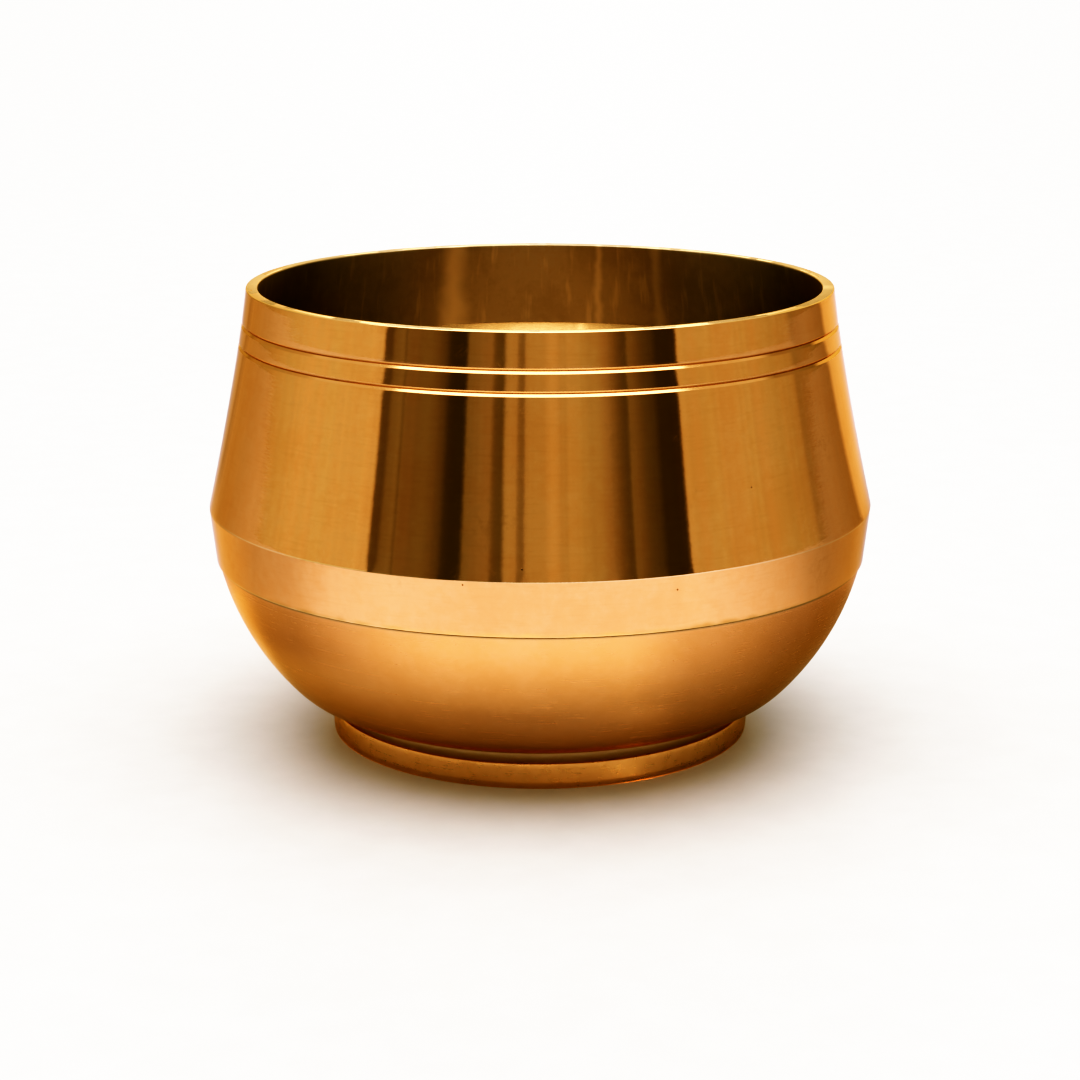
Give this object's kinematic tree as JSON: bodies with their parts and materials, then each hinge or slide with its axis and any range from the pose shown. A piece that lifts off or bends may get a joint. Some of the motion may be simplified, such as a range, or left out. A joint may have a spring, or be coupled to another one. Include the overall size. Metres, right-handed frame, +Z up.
{
  "type": "kalash pot",
  "caption": "Wide-mouthed turned brass pot of the kalash family: tapered wall with turned grooves, sharp shoulder, belt lapped over a round bowl, low foot ring.",
  "frame": {"origin": "centre of the foot ring's resting face", "axes": "+Z up along the pot's turning axis, out of the mouth; X and Y are free, because the pot is turned"},
  "size_m": [0.19, 0.19, 0.13],
  "materials": {
    "polished_brass": "turned and buffed bright, with fine lathe lines, light scratches and small pits",
    "satin_brass": "scoured to an even satin, finely mottled",
    "turned_brass": "turned, with tool lines running round the ring",
    "braze_metal": "paler filler metal, as run and lightly scraped"
  },
  "bodies": {
    "root": {"upper_shell": "polished_brass", "lower_bowl": "satin_brass", "foot_ring": "turned_brass", "seam_braze": "braze_metal", "foot_braze": "braze_metal"}
  },
  "joints": []
}
